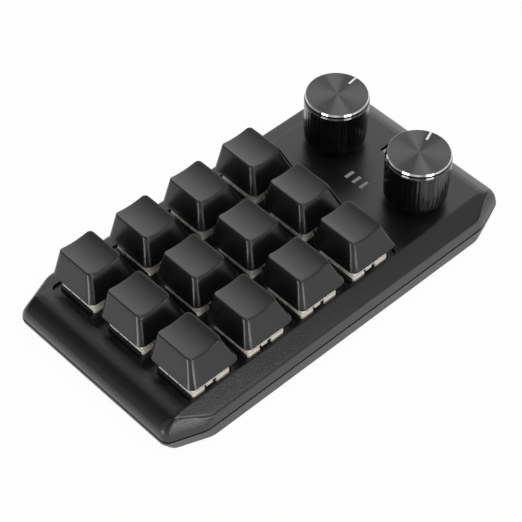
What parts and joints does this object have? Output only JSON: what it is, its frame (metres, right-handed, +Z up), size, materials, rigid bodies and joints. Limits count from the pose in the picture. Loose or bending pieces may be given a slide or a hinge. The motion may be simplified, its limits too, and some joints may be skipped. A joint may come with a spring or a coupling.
{
  "type": "macro keypad with knobs",
  "caption": "Low desk keypad: a block of mechanical keys in a shallow well, push-and-turn knobs, indicator windows and a slide switch.",
  "frame": {"origin": "on the desk, under the middle of the case", "axes": "+X towards the knobs along the case, +Y away from the user, +Z up"},
  "size_m": [0.1362, 0.072, 0.0314],
  "materials": {
    "case_black": "fine matte texture",
    "keycap_black": "smooth satin",
    "switch_cream": "semi-gloss, slightly translucent",
    "switch_black": "matte",
    "stem_brown": "semi-gloss",
    "spring_steel": "drawn wire",
    "contact_metal": "plain",
    "board_green": "solder mask",
    "chip_black": "matte",
    "knob_black": "black anodised, spun top, bright cut ring",
    "insert_black": "matte",
    "encoder_metal": "zinc plated",
    "window_grey": "frosted",
    "lamp_white": "plain",
    "slider_grey": "satin",
    "socket_steel": "nickel plated",
    "screw_steel": "black zinc",
    "foot_rubber": "matte"
  },
  "bodies": {
    "case": {"top_shell": "case_black", "bottom_shell": "case_black", "main_board": "board_green", "switch_lower_housings": "switch_black", "switch_upper_housings": "switch_cream", "contacts_and_pins": "contact_metal", "key_spring_01": "spring_steel", "key_spring_02": "spring_steel", "key_spring_03": "spring_steel", "key_spring_04": "spring_steel", "key_spring_05": "spring_steel", "key_spring_06": "spring_steel", "key_spring_07": "spring_steel", "key_spring_08": "spring_steel", "key_spring_09": "spring_steel", "key_spring_10": "spring_steel", "key_spring_11": "spring_steel", "key_spring_12": "spring_steel", "encoder_bases": "chip_black", "encoder_frames": "encoder_metal", "indicator_leds": "lamp_white", "light_guide": "window_grey", "board_components": "chip_black", "usb_c_receptacle": "socket_steel", "mode_switch_body": "switch_black", "case_screws": "screw_steel", "rubber_feet": "foot_rubber"},
    "key_01": {"keycap_01": "keycap_black", "key_stem_01": "stem_brown"},
    "key_02": {"keycap_02": "keycap_black", "key_stem_02": "stem_brown"},
    "key_03": {"keycap_03": "keycap_black", "key_stem_03": "stem_brown"},
    "key_04": {"keycap_04": "keycap_black", "key_stem_04": "stem_brown"},
    "key_05": {"keycap_05": "keycap_black", "key_stem_05": "stem_brown"},
    "key_06": {"keycap_06": "keycap_black", "key_stem_06": "stem_brown"},
    "key_07": {"keycap_07": "keycap_black", "key_stem_07": "stem_brown"},
    "key_08": {"keycap_08": "keycap_black", "key_stem_08": "stem_brown"},
    "key_09": {"keycap_09": "keycap_black", "key_stem_09": "stem_brown"},
    "key_10": {"keycap_10": "keycap_black", "key_stem_10": "stem_brown"},
    "key_11": {"keycap_11": "keycap_black", "key_stem_11": "stem_brown"},
    "key_12": {"keycap_12": "keycap_black", "key_stem_12": "stem_brown"},
    "back_knob_push": {"back_knob_plunger": "slider_grey"},
    "back_knob_turn": {"back_knob_shaft": "encoder_metal", "back_knob_insert": "insert_black", "back_knob": "knob_black"},
    "front_knob_push": {"front_knob_plunger": "slider_grey"},
    "front_knob_turn": {"front_knob_shaft": "encoder_metal", "front_knob_insert": "insert_black", "front_knob": "knob_black"},
    "mode_slider": {"mode_switch_slider": "slider_grey"}
  },
  "joints": [
    {"name": "key_01_press", "type": "slide", "parent": "case", "child": "key_01", "axis": [0, 0, -1], "range_m": [0, 0.004], "stiffness_N_per_m": 90, "springref_m": -0.0035, "deforming": ["key_spring_01"]},
    {"name": "key_02_press", "type": "slide", "parent": "case", "child": "key_02", "axis": [0, 0, -1], "range_m": [0, 0.004], "stiffness_N_per_m": 90, "springref_m": -0.0035, "deforming": ["key_spring_02"]},
    {"name": "key_03_press", "type": "slide", "parent": "case", "child": "key_03", "axis": [0, 0, -1], "range_m": [0, 0.004], "stiffness_N_per_m": 90, "springref_m": -0.0035, "deforming": ["key_spring_03"]},
    {"name": "key_04_press", "type": "slide", "parent": "case", "child": "key_04", "axis": [0, 0, -1], "range_m": [0, 0.004], "stiffness_N_per_m": 90, "springref_m": -0.0035, "deforming": ["key_spring_04"]},
    {"name": "key_05_press", "type": "slide", "parent": "case", "child": "key_05", "axis": [0, 0, -1], "range_m": [0, 0.004], "stiffness_N_per_m": 90, "springref_m": -0.0035, "deforming": ["key_spring_05"]},
    {"name": "key_06_press", "type": "slide", "parent": "case", "child": "key_06", "axis": [0, 0, -1], "range_m": [0, 0.004], "stiffness_N_per_m": 90, "springref_m": -0.0035, "deforming": ["key_spring_06"]},
    {"name": "key_07_press", "type": "slide", "parent": "case", "child": "key_07", "axis": [0, 0, -1], "range_m": [0, 0.004], "stiffness_N_per_m": 90, "springref_m": -0.0035, "deforming": ["key_spring_07"]},
    {"name": "key_08_press", "type": "slide", "parent": "case", "child": "key_08", "axis": [0, 0, -1], "range_m": [0, 0.004], "stiffness_N_per_m": 90, "springref_m": -0.0035, "deforming": ["key_spring_08"]},
    {"name": "key_09_press", "type": "slide", "parent": "case", "child": "key_09", "axis": [0, 0, -1], "range_m": [0, 0.004], "stiffness_N_per_m": 90, "springref_m": -0.0035, "deforming": ["key_spring_09"]},
    {"name": "key_10_press", "type": "slide", "parent": "case", "child": "key_10", "axis": [0, 0, -1], "range_m": [0, 0.004], "stiffness_N_per_m": 90, "springref_m": -0.0035, "deforming": ["key_spring_10"]},
    {"name": "key_11_press", "type": "slide", "parent": "case", "child": "key_11", "axis": [0, 0, -1], "range_m": [0, 0.004], "stiffness_N_per_m": 90, "springref_m": -0.0035, "deforming": ["key_spring_11"]},
    {"name": "key_12_press", "type": "slide", "parent": "case", "child": "key_12", "axis": [0, 0, -1], "range_m": [0, 0.004], "stiffness_N_per_m": 90, "springref_m": -0.0035, "deforming": ["key_spring_12"]},
    {"name": "back_knob_press", "type": "slide", "parent": "case", "child": "back_knob_push", "axis": [0, 0, -1], "range_m": [0, 0.0005], "stiffness_N_per_m": 1500, "springref_m": -0.001},
    {"name": "back_knob_spin", "type": "hinge", "parent": "back_knob_push", "child": "back_knob_turn", "pos_m": [0.04565, 0.0171, 0.0154], "axis": [0, 0, 1], "continuous": true},
    {"name": "front_knob_press", "type": "slide", "parent": "case", "child": "front_knob_push", "axis": [0, 0, -1], "range_m": [0, 0.0005], "stiffness_N_per_m": 1500, "springref_m": -0.001},
    {"name": "front_knob_spin", "type": "hinge", "parent": "front_knob_push", "child": "front_knob_turn", "pos_m": [0.04565, -0.0171, 0.0154], "axis": [0, 0, 1], "continuous": true},
    {"name": "mode_slide", "type": "slide", "parent": "case", "child": "mode_slider", "axis": [0, -1, 0], "range_m": [0, 0.004]}
  ]
}
